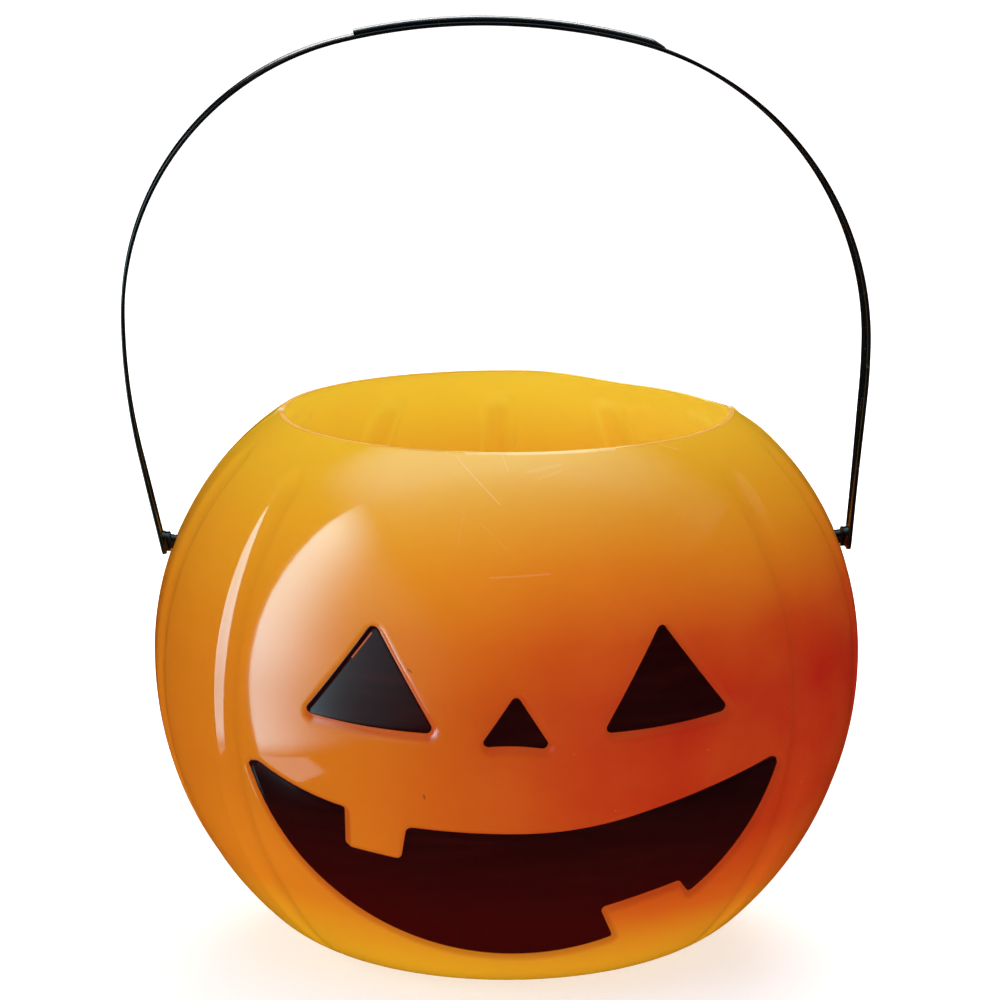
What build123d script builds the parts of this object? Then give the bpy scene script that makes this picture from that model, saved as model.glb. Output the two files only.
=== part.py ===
# Pumpkin candy pail: a blow-moulded shell with a sunk, painted face, and a strap bail that swings on pegs.
# The origin is the centre of the flat ring that the pail stands on. +Z is up and the face looks along -Y.

import os
from math import acos, asin, atan2, cos, degrees, hypot, radians, sin, sqrt, tan

from build123d import *

# Skin of the pail: tangent arcs from the base to the mouth
belly_radius = 100.0
lower_belly_arc = 100.0
lower_belly_turn = 46.3
heel_arc = 38.0
upper_belly_arc = 86.0
upper_belly_turn = 36.0
shoulder_arc = 75.0
mouth_radius = 64.0
wall = 1.6
rim_chamfer = 0.5

# Base: a flat standing ring round a shallow push-up
standing_ring_width = 7.0
push_up_rise = 1.8
push_up_slope_width = 3.0

# Flutes: fourteen places, of which the three in front stay plain and the next two clear the mouth
flute_count = 14
plain_count = 3
flute_face_gap = 1.13
flute_tool_radius = 13.0
flute_depth = 1.2
flute_top_drop = 10.0
flute_foot_turn = 66.0

# Face: rises and drops are taken from the widest level of the belly, the mouth's foot from the ground
# and the lower tooth from the mouth's foot
recess_depth = 1.8
recess_shoulder = 1.1
shoulder_step_count = 2
paint_thickness = 0.15
paint_margin = 0.15
eye_apex_x = 38.0
eye_apex_rise = 28.4
eye_outer_x = 56.3
eye_outer_rise = 3.2
eye_inner_x = 22.9
eye_inner_rise = 1.1
eye_bow = 0.7
eye_corner_round = 1.3
nose_apex_rise = 11.3
nose_half_width = 9.2
nose_tip_drop = 2.5
nose_arch = 0.9
nose_corner_round = 0.9
mouth_half_width = 71.6
mouth_corner_drop = 14.6
mouth_foot_rise = 15.524
mouth_lip_drop = 27.4
mouth_bend_share = 0.419
mouth_bend_drop = 23.6
mouth_corner_round = 1.5
upper_tooth_outer_share = 0.6425
upper_tooth_inner_share = 0.4232
upper_tooth_outer_drop = 33.0
upper_tooth_inner_drop = 35.6
lower_tooth_inner_share = 0.3198
lower_tooth_inner_rise = 14.3
lower_tooth_outer_share = 0.6145
lower_tooth_outer_rise = 20.3
lower_tooth_lean = 14.0
lower_tooth_outer_lean = 32.0

# Pegs of the bail and the holes that they turn in
peg_rise = 31.9
peg_radius = 1.9
peg_flare = 1.2
peg_hole_clearance = 0.3
snap_head_radius = 3.0
snap_head_length = 2.6
snap_tip_radius = 1.5
snap_head_clearance = 0.35

# Strap of the bail: straight shanks, flank arcs, shoulder arcs and a crown, with rises taken from the pegs
strap_width = 9.0
strap_thickness = 1.1
strap_clearance = 0.5
tail_length = 3.4
tail_corner_round = 2.5
left_shank_lean = 12.65
right_shank_lean = 4.7
flank_arc = 176.0
left_strap_belly_rise = 63.9
right_strap_belly_rise = 56.0
crown_rise = 146.0
crown_shift = -4.7
strap_shoulder_share = 0.9716

# Grip strip on the crown of the strap
grip_thickness = 1.2
grip_left_reach = 35.1
grip_right_reach = 51.6
grip_right_chamfer = 3.0
grip_chamfer_share = 0.8

# How far a cutting tool runs past what it cuts
overrun = 5.0

# Centres of the skin arcs, worked out from the sizes above
lower_turn = radians(lower_belly_turn)
upper_turn = radians(upper_belly_turn)
belly_height = (lower_belly_arc - heel_arc) * sin(lower_turn) + heel_arc
heel_x = belly_radius - lower_belly_arc + (lower_belly_arc - heel_arc) * cos(lower_turn)
shoulder_x = belly_radius - upper_belly_arc + (upper_belly_arc - shoulder_arc) * cos(upper_turn)
shoulder_height = belly_height + (upper_belly_arc - shoulder_arc) * sin(upper_turn)
rim_angle = degrees(acos((mouth_radius - shoulder_x) / shoulder_arc))
rim_height = shoulder_height + shoulder_arc * sin(radians(rim_angle))
face_top = belly_height + eye_apex_rise + overrun
mouth_bottom_drop = belly_height - mouth_foot_rise
mouth_bend_x = mouth_bend_share * mouth_half_width
upper_tooth_outer_x = upper_tooth_outer_share * mouth_half_width
upper_tooth_inner_x = upper_tooth_inner_share * mouth_half_width
lower_tooth_inner_x = lower_tooth_inner_share * mouth_half_width
lower_tooth_outer_x = lower_tooth_outer_share * mouth_half_width


def skin_arcs(inset, foot_angle, top_angle):
    """Draw the skin's arcs from the foot to the top, moved inwards by the inset"""
    CenterArc((heel_x, heel_arc), heel_arc - inset, foot_angle, -lower_belly_turn - foot_angle)
    lower_center = (belly_radius - lower_belly_arc, belly_height)
    CenterArc(lower_center, lower_belly_arc - inset, -lower_belly_turn, lower_belly_turn)
    upper_center = (belly_radius - upper_belly_arc, belly_height)
    CenterArc(upper_center, upper_belly_arc - inset, 0, upper_belly_turn)
    shoulder_center = (shoulder_x, shoulder_height)
    return CenterArc(shoulder_center, shoulder_arc - inset, upper_belly_turn, top_angle - upper_belly_turn)


def half_section(inset, top, flare):
    """Draw half of the pail's section, moved inwards by the inset, with its top edge widened by the flare"""
    top_angle = degrees(asin((top - abs(flare) - shoulder_height) / (shoulder_arc - inset)))
    skin = skin_arcs(inset, -90, top_angle)
    flared_edge = [((skin @ 1).X + flare, top)] if flare else []
    ring_inner = heel_x - standing_ring_width
    dome_radius = ring_inner - push_up_slope_width
    Polyline(skin @ 1, *flared_edge, (0, top), (0, push_up_rise + inset),
             (dome_radius, push_up_rise + inset), (ring_inner, inset), (heel_x, inset))


def skin_x(height, inset):
    """Give the skin's distance from the axis at a height above the belly's widest level"""
    return belly_radius - upper_belly_arc + sqrt((upper_belly_arc - inset) ** 2 - height ** 2)


# Face outlines, drawn on an upright plane through the axis and seen from the front
face_plane = Plane(origin=(0, 0, belly_height), x_dir=(1, 0, 0), z_dir=(0, -1, 0))

with BuildSketch(face_plane) as right_eye:
    with BuildLine():
        Polyline((eye_outer_x, eye_outer_rise), (eye_apex_x, eye_apex_rise), (eye_inner_x, eye_inner_rise))
        SagittaArc((eye_inner_x, eye_inner_rise), (eye_outer_x, eye_outer_rise), -eye_bow)
    make_face()
    fillet(right_eye.vertices(), radius=eye_corner_round)

with BuildSketch(face_plane) as left_eye:
    mirror(right_eye.sketch_local, about=Plane.YZ)

with BuildSketch(face_plane) as nose:
    with BuildLine():
        Polyline((nose_half_width, -nose_tip_drop), (0, nose_apex_rise), (-nose_half_width, -nose_tip_drop))
        SagittaArc((-nose_half_width, -nose_tip_drop), (nose_half_width, -nose_tip_drop), nose_arch)
    make_face()
    fillet(nose.vertices(), radius=nose_corner_round)

with BuildSketch(face_plane) as mouth:
    left_corner = (-mouth_half_width, -mouth_corner_drop)
    right_corner = (mouth_half_width, -mouth_corner_drop)
    lip_middle = (0, -mouth_lip_drop)
    lip_bend = (mouth_bend_x, -mouth_bend_drop)
    with BuildLine():
        TangentArc(lip_middle, left_corner, tangent=(-1, 0))
        right_lip = TangentArc(lip_middle, lip_bend, tangent=(1, 0))
        TangentArc(lip_bend, right_corner, tangent=right_lip % 1)
        ThreePointArc(left_corner, (0, -mouth_bottom_drop), right_corner)
    make_face()
    with BuildLine():
        Polyline((-upper_tooth_outer_x, 0), (-upper_tooth_outer_x, -upper_tooth_outer_drop),
                 (-upper_tooth_inner_x, -upper_tooth_inner_drop), (-upper_tooth_inner_x, 0), close=True)
    make_face(mode=Mode.SUBTRACT)
    inner_run = lower_tooth_inner_rise * tan(radians(lower_tooth_lean))
    outer_run = lower_tooth_outer_rise * tan(radians(lower_tooth_outer_lean))
    with BuildLine():
        Polyline((lower_tooth_inner_x + inner_run, -mouth_bottom_drop),
                 (lower_tooth_inner_x, lower_tooth_inner_rise - mouth_bottom_drop),
                 (lower_tooth_outer_x, lower_tooth_outer_rise - mouth_bottom_drop),
                 (lower_tooth_outer_x + outer_run, -mouth_bottom_drop), close=True)
    make_face(mode=Mode.SUBTRACT)
    sharp_corners = mouth.vertices().filter_by(
        lambda corner: min(abs(corner.X - smooth_x) for smooth_x in (0, mouth_bend_x)) > mouth_corner_round)
    fillet(sharp_corners, radius=mouth_corner_round)

face_outlines = {"left_eye": left_eye, "right_eye": right_eye, "nose": nose, "mouth": mouth}

# The seam of the turned skins lies between two flutes at the back
seam_turn = 90 + 180 / flute_count
seam_plane = Plane(origin=(0, 0, 0), x_dir=(cos(radians(seam_turn)), sin(radians(seam_turn)), 0),
                   z_dir=(sin(radians(seam_turn)), -cos(radians(seam_turn)), 0))


def turned_skin(inset, top, flare=0):
    """Turn the pail's half section into a solid, moved inwards by the inset"""
    with BuildPart() as skin:
        with BuildSketch(seam_plane):
            with BuildLine():
                half_section(inset, top, flare)
            make_face()
        revolve(axis=Axis.Z)
    return skin.part


def face_blocks(outset):
    """Extrude the four face outlines forwards, grown by the outset"""
    with BuildPart() as blocks:
        for outline in face_outlines.values():
            with BuildSketch(face_plane):
                offset(outline.sketch_local, amount=outset)
            extrude(amount=belly_radius + overrun)
    return blocks.part


def flute_bar(radius):
    """Sweep a round bar along the line of a flute's centre, with ball ends"""
    flute_top = rim_angle - degrees(flute_top_drop / shoulder_arc)
    with BuildPart() as bar:
        with BuildLine(Plane.XZ) as path:
            skin_arcs(flute_depth - flute_tool_radius, -flute_foot_turn, flute_top)
        line = path.wires()[0]
        with BuildSketch(Plane(origin=line @ 0, z_dir=line % 0)):
            Circle(radius)
        sweep(path=line)
        with Locations(line @ 0, line @ 1):
            Sphere(radius)
    return bar.part


# The first flute on each side stands clear of the mouth's corner, and the others keep their even places
corner_x = belly_radius - lower_belly_arc + sqrt(lower_belly_arc ** 2 - mouth_corner_drop ** 2)
flute_half_width = sqrt(flute_tool_radius ** 2 - (flute_tool_radius - flute_depth) ** 2)
face_half_turn = degrees(asin((mouth_half_width + recess_shoulder + flute_face_gap) / corner_x))
front_flute_turn = face_half_turn + degrees(asin(flute_half_width / corner_x))
first_even_place = (plain_count + 1) // 2 + 1
even_places = range(first_even_place, flute_count - first_even_place + 1)
flute_turns = [-front_flute_turn, front_flute_turn] + [place * 360 / flute_count for place in even_places]
flute_places_round = [Location((0, 0, 0), (0, 0, turn - 90)) for turn in flute_turns]
recess_floor = turned_skin(recess_depth, face_top)
peg_height = belly_height + peg_rise

with BuildPart() as cavity:
    add(turned_skin(wall, rim_height, rim_chamfer))
    with Locations(*flute_places_round):
        add(flute_bar(flute_tool_radius + wall), mode=Mode.SUBTRACT)
    add(face_blocks(wall) - turned_skin(recess_depth + wall, face_top), mode=Mode.SUBTRACT)

with BuildPart() as pail_shell:
    add(turned_skin(0, rim_height, -rim_chamfer))
    with Locations(*flute_places_round):
        add(flute_bar(flute_tool_radius), mode=Mode.SUBTRACT)
    add(face_blocks(0) - recess_floor, mode=Mode.SUBTRACT)
    for step in range(1, shoulder_step_count + 1):
        step_depth = recess_depth * (1 - step / (shoulder_step_count + 1))
        step_block = face_blocks(recess_shoulder * step / shoulder_step_count)
        add(step_block - turned_skin(step_depth, face_top), mode=Mode.SUBTRACT)
    add(cavity.part, mode=Mode.SUBTRACT)
    with Locations((0, 0, peg_height)):
        Cylinder(peg_radius + peg_hole_clearance, 2 * belly_radius + overrun, rotation=(0, 90, 0),
                 mode=Mode.SUBTRACT)


def paint_film(outline):
    """Lay a thin film of paint on the floor of one face recess, clear of its walls"""
    with BuildPart() as film:
        with BuildSketch(face_plane):
            offset(outline.sketch_local, amount=-paint_margin)
        extrude(amount=belly_radius + overrun)
        add(paint_layer, mode=Mode.INTERSECT)
    return film.part


paint_layer = turned_skin(recess_depth - paint_thickness, face_top) - recess_floor
paint_films = {f"{name}_paint": paint_film(outline) for name, outline in face_outlines.items()}

# Places along the bail, worked out from the pail and the strap's own sizes
steepest_lean = radians(max(left_shank_lean, right_shank_lean))
tail_sweep = hypot(strap_width / 2 - tail_corner_round, tail_length - tail_corner_round) + tail_corner_round
tail_skin_x = skin_x(peg_rise - tail_sweep, 0)
strap_x = tail_skin_x + strap_clearance + strap_thickness / 2 + tail_length * sin(steepest_lean)
snap_face_x = skin_x(peg_rise + snap_head_radius, wall) - snap_head_clearance


def shank_length(lean, belly_rise):
    """Give the straight length of a shank above its peg, up to the flank arc"""
    return (belly_rise - flank_arc * sin(radians(lean))) / cos(radians(lean))


def belly_reach(lean, belly_rise):
    """Give the distance from the axis to the strap at its widest place"""
    shank_run = shank_length(lean, belly_rise) * sin(radians(lean))
    return strap_x + shank_run + flank_arc * (1 - cos(radians(lean)))


def shoulder_radius(belly_rise):
    """Give the radius of the arc between the strap's widest place and its crown"""
    return strap_shoulder_share * (crown_rise - belly_rise)


def crown_arc(half_span, belly_rise):
    """Give the crown's radius that meets the shoulder arc without a bend"""
    rise, shoulder = crown_rise - belly_rise, shoulder_radius(belly_rise)
    return (half_span ** 2 + rise ** 2 - 2 * half_span * shoulder) / (2 * (rise - shoulder))


def shoulder_turn(half_span, belly_rise):
    """Give the angle through which the strap turns on its shoulder arc"""
    drop = crown_arc(half_span, belly_rise) - crown_rise + belly_rise
    return degrees(atan2(drop, half_span - shoulder_radius(belly_rise)))


left_shank_length = shank_length(left_shank_lean, left_strap_belly_rise)
right_shank_length = shank_length(right_shank_lean, right_strap_belly_rise)
left_reach = belly_reach(left_shank_lean, left_strap_belly_rise)
right_reach = belly_reach(right_shank_lean, right_strap_belly_rise)
crown_x = (right_reach - left_reach) / 2 + crown_shift
left_span, right_span = crown_x + left_reach, right_reach - crown_x
left_shoulder_arc = shoulder_radius(left_strap_belly_rise)
right_shoulder_arc = shoulder_radius(right_strap_belly_rise)
left_crown_arc = crown_arc(left_span, left_strap_belly_rise)
right_crown_arc = crown_arc(right_span, right_strap_belly_rise)
left_turn = shoulder_turn(left_span, left_strap_belly_rise)
right_turn = shoulder_turn(right_span, right_strap_belly_rise)
crown_height = peg_height + crown_rise


def peg(side, lean):
    """Turn one peg with its flared root and snap head, cut off at the middle of the strap"""
    root_x = strap_x - strap_thickness / 2
    with BuildPart() as pin:
        with BuildSketch(Plane.XZ):
            with BuildLine():
                tip = Line((side * (snap_face_x - snap_head_length), peg_height),
                           (side * (snap_face_x - snap_head_length), peg_height + snap_tip_radius))
                head = Polyline(tip @ 1, (side * snap_face_x, peg_height + snap_head_radius),
                                (side * snap_face_x, peg_height + peg_radius),
                                (side * (root_x - peg_flare), peg_height + peg_radius))
                flare = TangentArc(head @ 1, (side * root_x, peg_height + peg_radius + peg_flare),
                                   tangent=(side, 0))
                Polyline(flare @ 1, (side * (strap_x + overrun), peg_height + peg_radius + peg_flare),
                         (side * (strap_x + overrun), peg_height), tip @ 0)
            make_face()
        revolve(axis=Axis((0, 0, peg_height), (1, 0, 0)))
        outwards = (side * cos(radians(lean)), 0, -sin(radians(lean)))
        split(bisect_by=Plane(origin=(side * strap_x, 0, peg_height), z_dir=outwards), keep=Keep.BOTTOM)
    return pin.part


with BuildPart() as bail_strap:
    with BuildSketch(Plane.XZ):
        with BuildLine():
            left_up = Vector(-sin(radians(left_shank_lean)), cos(radians(left_shank_lean)))
            left_peg = Vector(-strap_x, peg_height)
            left_shank = Line(left_peg - left_up * tail_length, left_peg + left_up * left_shank_length)
            left_flank = JernArc(left_shank @ 1, left_shank % 1, flank_arc, -left_shank_lean)
            left_shoulder = JernArc(left_flank @ 1, left_flank % 1, left_shoulder_arc, -left_turn)
            left_crown = JernArc(left_shoulder @ 1, left_shoulder % 1, left_crown_arc, left_turn - 90)
            right_crown = JernArc(left_crown @ 1, left_crown % 1, right_crown_arc, right_turn - 90)
            right_shoulder = JernArc(right_crown @ 1, right_crown % 1, right_shoulder_arc, -right_turn)
            right_flank = JernArc(right_shoulder @ 1, right_shoulder % 1, flank_arc, -right_shank_lean)
            PolarLine(right_flank @ 1, right_shank_length + tail_length, direction=right_flank % 1)
        trace(line_width=strap_thickness)
    extrude(amount=strap_width / 2, both=True)
    fillet(bail_strap.edges().sort_by(SortBy.LENGTH)[:4], radius=tail_corner_round)
    add(peg(-1, left_shank_lean))
    add(peg(1, right_shank_lean))

with BuildPart() as bail_grip:
    lift = (strap_thickness + grip_thickness) / 2
    with BuildSketch(Plane.XZ):
        with BuildLine():
            for side, arc, turn, shoulder in ((-1, left_crown_arc, left_turn, left_shoulder_arc),
                                              (1, right_crown_arc, right_turn, right_shoulder_arc)):
                crown = JernArc((crown_x, crown_height + lift), (side, 0), arc + lift, side * (turn - 90))
                JernArc(crown @ 1, crown % 1, shoulder + lift, -side * turn)
        trace(line_width=grip_thickness)
        with Locations((crown_x + (grip_right_reach - grip_left_reach) / 2, crown_height)):
            Rectangle(grip_left_reach + grip_right_reach, 2 * crown_rise, mode=Mode.INTERSECT)
    extrude(amount=strap_width / 2, both=True)
    right_end = bail_grip.faces().filter_by(Axis.X).sort_by(Axis.X)[-1]
    chamfer(right_end.edges().sort_by(Axis.Z)[-1], length=grip_chamfer_share * grip_thickness,
            length2=grip_right_chamfer, reference=right_end)

bail_pieces = {"bail_strap": bail_strap.part, "bail_grip": bail_grip.part}
pieces = {"pail_shell": pail_shell.part, **paint_films, **bail_pieces}
os.makedirs("parts", exist_ok=True)
for name, piece in pieces.items():
    piece.label = name
    export_step(piece, f"parts/{name}.step")
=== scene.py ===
# %% [markdown]
# # A pumpkin candy pail
# The real pail is a thin shell of glossy orange plastic, blown into a pumpkin mould. Its face is pressed
# into the front and filled with black paint, and a black strap swings on two pegs that snap into the sides.
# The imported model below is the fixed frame: every piece made here goes where that frame says, in metres.

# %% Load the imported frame
import math
from math import asin, atan2, cos, pi, radians, sin, sqrt

import bmesh
import bpy
import numpy as np
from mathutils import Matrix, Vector
from mathutils.geometry import delaunay_2d_cdt


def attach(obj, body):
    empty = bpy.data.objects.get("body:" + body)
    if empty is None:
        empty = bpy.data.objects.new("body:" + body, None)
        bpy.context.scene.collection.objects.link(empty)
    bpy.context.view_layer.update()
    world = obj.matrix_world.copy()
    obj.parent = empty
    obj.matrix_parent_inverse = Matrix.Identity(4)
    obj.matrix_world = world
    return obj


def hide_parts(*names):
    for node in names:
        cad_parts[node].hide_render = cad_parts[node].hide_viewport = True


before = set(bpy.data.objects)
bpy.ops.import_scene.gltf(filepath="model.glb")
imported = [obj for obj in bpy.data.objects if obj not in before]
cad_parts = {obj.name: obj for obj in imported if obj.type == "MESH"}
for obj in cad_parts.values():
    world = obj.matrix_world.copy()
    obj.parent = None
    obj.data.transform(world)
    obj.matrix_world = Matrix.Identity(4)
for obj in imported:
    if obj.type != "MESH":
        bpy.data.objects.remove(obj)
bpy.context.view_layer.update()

mm = 0.001


def add_object(name, data):
    """Put a mesh, curve, lamp or camera into the scene"""
    obj = bpy.data.objects.new(name, data)
    bpy.context.scene.collection.objects.link(obj)
    return obj


def aim_at(obj, target):
    """Turn a lamp or the camera towards a target"""
    obj.rotation_euler = (Vector(target) - obj.location).to_track_quat("-Z", "Y").to_euler()


# %% [markdown]
# ## Camera
# A long lens from a little above the rim keeps the pail's sides almost parallel. The camera comes first,
# because every later comparison with the picture depends on it.

# %% Place the camera
camera_data = bpy.data.cameras.new("studio_camera")
camera_data.lens, camera_data.sensor_width, camera_data.shift_x = 146.2, 36.0, -0.0065
camera = add_object("studio_camera", camera_data)
camera.location = (-39.3 * mm, -1124.9 * mm, 361.5 * mm)
camera_aim = Vector((0, 0, 125.9 * mm))
aim_at(camera, camera_aim)
bpy.context.scene.camera = camera
bpy.context.scene.view_settings.view_transform = "Standard"
print("camera distance in mm:", round((camera_aim - camera.location).length / mm))

# %% [markdown]
# ## Node helpers
# Geometry trees and materials are wired from many small maths nodes. Here a node's output is a wire, and
# plain sums and products of wires add those nodes, so each later cell reads like the formula that it stands
# for.

# %% Wires and nodes
class Wire:
    """A node's output, with arithmetic that adds maths nodes to its tree"""

    def __init__(self, socket):
        self.socket, self.tree = socket, socket.id_data

    def __add__(self, other):
        return maths("ADD", self, other)

    def __sub__(self, other):
        return maths("SUBTRACT", self, other)

    def __rsub__(self, other):
        return maths("SUBTRACT", other, self)

    def __mul__(self, other):
        return maths("MULTIPLY", self, other)

    def __truediv__(self, other):
        return maths("DIVIDE", self, other)

    def __abs__(self):
        return maths("ABSOLUTE", self)


class Outputs:
    """A node's outputs as wires, by name or number"""

    def __init__(self, node):
        self.node = node

    def __getitem__(self, key):
        return Wire(self.node.outputs[key])


def add_node(tree, kind, inputs=None, **settings):
    """Add a node, set its properties, link or fill its inputs by name or number, and give its outputs"""
    node = tree.nodes.new(kind)
    for name, value in settings.items():
        setattr(node, name, value)
    for key, value in (inputs or {}).items():
        if isinstance(value, Wire):
            tree.links.new(value.socket, node.inputs[key])
        else:
            node.inputs[key].default_value = value
    return Outputs(node)


def tree_of(values):
    return next(value.tree for value in values if isinstance(value, Wire))


# %% Maths nodes
def maths(operation, *values):
    """Add a maths node for wires and numbers, and give its result"""
    return add_node(tree_of(values), "ShaderNodeMath", dict(enumerate(values)), operation=operation)[0]


def vector_maths(operation, *values):
    """Do the same for vectors: the result is a number for lengths and dot products"""
    keys = (0, "Scale") if operation == "SCALE" else range(len(values))
    node = add_node(tree_of(values), "ShaderNodeVectorMath", dict(zip(keys, values)), operation=operation)
    return node["Value" if operation in ("LENGTH", "DOT_PRODUCT") else 0]


def smooth_step(value, start, end):
    """Give 0 at the start, 1 at the end, and a smooth ramp between"""
    inputs = {"Value": value, "From Min": start, "From Max": end, "To Min": 0.0, "To Max": 1.0}
    return add_node(value.tree, "ShaderNodeMapRange", inputs, interpolation_type="SMOOTHSTEP")["Result"]


def clamped(value):
    return add_node(value.tree, "ShaderNodeClamp", {"Value": value})[0]


def split(vector):
    """Give the X, Y and Z of a vector"""
    return add_node(vector.tree, "ShaderNodeSeparateXYZ", {0: vector})


def noise(vector, scale, detail):
    return add_node(vector.tree, "ShaderNodeTexNoise", {"Vector": vector, "Scale": scale, "Detail": detail})


# %% Named inputs and results of a tree
def named_inputs(tree, sockets):
    """Declare a tree's inputs, each with a kind or a starting number, and give them as wires"""
    for name, value in sockets.items():
        kind = value if isinstance(value, str) else "Float"
        socket = tree.interface.new_socket(name, in_out="INPUT", socket_type=f"NodeSocket{kind}")
        if kind == "Float":
            socket.default_value = value
    return add_node(tree, "NodeGroupInput")


def give_results(tree, results, kind="Float"):
    """Declare a tree's outputs and link its results to them"""
    for name in results:
        tree.interface.new_socket(name, in_out="OUTPUT", socket_type=f"NodeSocket{kind}")
    add_node(tree, "NodeGroupOutput", results)


# %% [markdown]
# ## Shared surface effects
# Moulded plastic is never perfectly smooth: the mould leaves a faint orange peel, and handling leaves fine
# scratches. Both are shader groups, so that the shell, the paint and the bail use them with their own
# values.

# %% Group for the mould's grain
def make_grain_group():
    tree = bpy.data.node_groups.new("mould_grain", "ShaderNodeTree")
    given = named_inputs(tree, {"Vector": "Vector", "Peel Scale": 260.0, "Cloud Scale": 30.0})
    peel = noise(given["Vector"], given["Peel Scale"], 2.0)
    cloud = noise(given["Vector"], given["Cloud Scale"], 3.0)
    give_results(tree, {"Height": peel["Fac"], "Cloud": cloud["Fac"]})
    return tree


mould_grain = make_grain_group()


# %% Group for handling scratches
def make_scratch_group():
    tree = bpy.data.node_groups.new("handling_scratches", "ShaderNodeTree")
    given = named_inputs(tree, {"Vector": "Vector", "Scale": 40.0, "Width": 0.004, "Share": 0.4})
    bend = noise(given["Vector"], 9.0, 1.0)["Color"]
    moved = vector_maths("ADD", given["Vector"], vector_maths("MULTIPLY", bend, (0.02, 0.02, 0.02)))
    cells = add_node(tree, "ShaderNodeTexVoronoi", {"Vector": moved, "Scale": given["Scale"]},
                     feature="DISTANCE_TO_EDGE")
    line = smooth_step(cells["Distance"], given["Width"], 0.0)
    patch = noise(given["Vector"], given["Scale"] * 1.7, 2.0)["Fac"]
    gap = 1.0 - given["Share"]
    give_results(tree, {"Scratches": line * smooth_step(patch, gap, gap + 0.08)})
    return tree


handling_scratches = make_scratch_group()


# %% Group for one straight mark across the front
def make_mark_group():
    tree = bpy.data.node_groups.new("straight_mark", "ShaderNodeTree")
    given = named_inputs(tree, {"Vector": "Vector", "From": "Vector", "To": "Vector", "Width": 0.4 * mm})
    flat = vector_maths("MULTIPLY", given["Vector"], (1.0, 0.0, 1.0))
    run = vector_maths("SUBTRACT", given["To"], given["From"])
    reach = vector_maths("SUBTRACT", flat, given["From"])
    along = vector_maths("DOT_PRODUCT", reach, run) / vector_maths("DOT_PRODUCT", run, run)
    near = vector_maths("SCALE", run, clamped(along))
    gap = vector_maths("LENGTH", vector_maths("SUBTRACT", reach, near))
    front = maths("LESS_THAN", split(given["Vector"])["Y"], 0.0)
    give_results(tree, {"Mark": smooth_step(gap, given["Width"], 0.0) * front})
    return tree


straight_mark = make_mark_group()
print("surface groups:", [tree.name for tree in (mould_grain, handling_scratches, straight_mark)])


# %% [markdown]
# ## Orange shell plastic
# The shell is pigmented polyethylene. It is glossy, and thin enough that light comes through it: the rim
# and the heel look amber, the belly a deep red orange. Colour ramps on the height paint that light and shade
# into the colour, with more painted shade on the right side; a share of translucent shader lets light
# through the wall, and attributes of the mesh mark the inside, which gets a paler painted glow, and the torn
# flash at the rim.

# %% Helpers for materials
def new_material(name):
    """Start a material and give it with its empty tree"""
    material = bpy.data.materials.new(name)
    material.use_nodes = True
    material.node_tree.nodes.clear()
    return material, material.node_tree


def object_place(tree):
    return add_node(tree, "ShaderNodeTexCoord")["Object"]


def finish_surface(tree, shader):
    add_node(tree, "ShaderNodeOutputMaterial", {"Surface": shader})


def mix_colour(share, first, second):
    """Mix two colours by a share"""
    first, second = (value if isinstance(value, Wire) else (*value, 1.0) for value in (first, second))
    return add_node(share.tree, "ShaderNodeMix", {0: share, 6: first, 7: second}, data_type="RGBA")[2]


def colour_ramp(share, stops):
    """Run a value through a ramp of colours"""
    outputs = add_node(share.tree, "ShaderNodeValToRGB", {"Fac": share})
    ramp = outputs.node.color_ramp
    while len(ramp.elements) < len(stops):
        ramp.elements.new(0.5)
    for element, (place, colour) in zip(ramp.elements, stops):
        element.position = place
        element.color = (*colour, 1.0)
    return outputs["Color"]


def use_group(group, inputs):
    """Place a shader group in a material with its own values"""
    return add_node(inputs["Vector"].tree, "ShaderNodeGroup", inputs, node_tree=group)


def mark_from(place, start, end, width):
    """Give the mask of a straight mark, with its ends and its width in mm"""
    ends = {"From": (start[0] * mm, 0.0, start[1] * mm), "To": (end[0] * mm, 0.0, end[1] * mm)}
    return use_group(straight_mark, {"Vector": place, **ends, "Width": width * mm})["Mark"]


def grained_shader(grain, strength, distance, inputs):
    """Give a Principled shader with the mould's grain as a faint bump"""
    tree = grain["Height"].tree
    bump = {"Height": grain["Height"], "Strength": strength, "Distance": distance}
    normal = add_node(tree, "ShaderNodeBump", bump)[0]
    return add_node(tree, "ShaderNodeBsdfPrincipled", {**inputs, "Normal": normal})[0]


# %% Orange plastic: colours of the outside
orange, tree = new_material("orange_polyethylene")
place = object_place(tree)
where = split(place)
height = where["Z"]
height_share = height / (152 * mm)
# Painted light and shade by height: amber at the rim and the heel, red orange in the shaded belly
lit_side_colour = colour_ramp(height_share, [
    (0.00, (0.92, 0.620, 0.028)), (0.06, (0.91, 0.540, 0.025)), (0.20, (0.77, 0.270, 0.016)),
    (0.40, (0.66, 0.215, 0.013)), (0.56, (0.64, 0.225, 0.013)), (0.70, (0.66, 0.245, 0.014)),
    (0.82, (0.72, 0.315, 0.019)), (0.92, (0.77, 0.390, 0.027)), (1.00, (0.83, 0.480, 0.038))])
shaded_side_colour = colour_ramp(height_share, [
    (0.00, (0.93, 0.580, 0.028)), (0.06, (0.90, 0.460, 0.023)), (0.18, (0.70, 0.115, 0.012)),
    (0.33, (0.54, 0.028, 0.009)), (0.45, (0.52, 0.021, 0.009)), (0.58, (0.49, 0.011, 0.009)),
    (0.70, (0.56, 0.036, 0.011)), (0.82, (0.69, 0.148, 0.015)), (0.92, (0.76, 0.295, 0.024)),
    (1.00, (0.83, 0.425, 0.036))])
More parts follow.
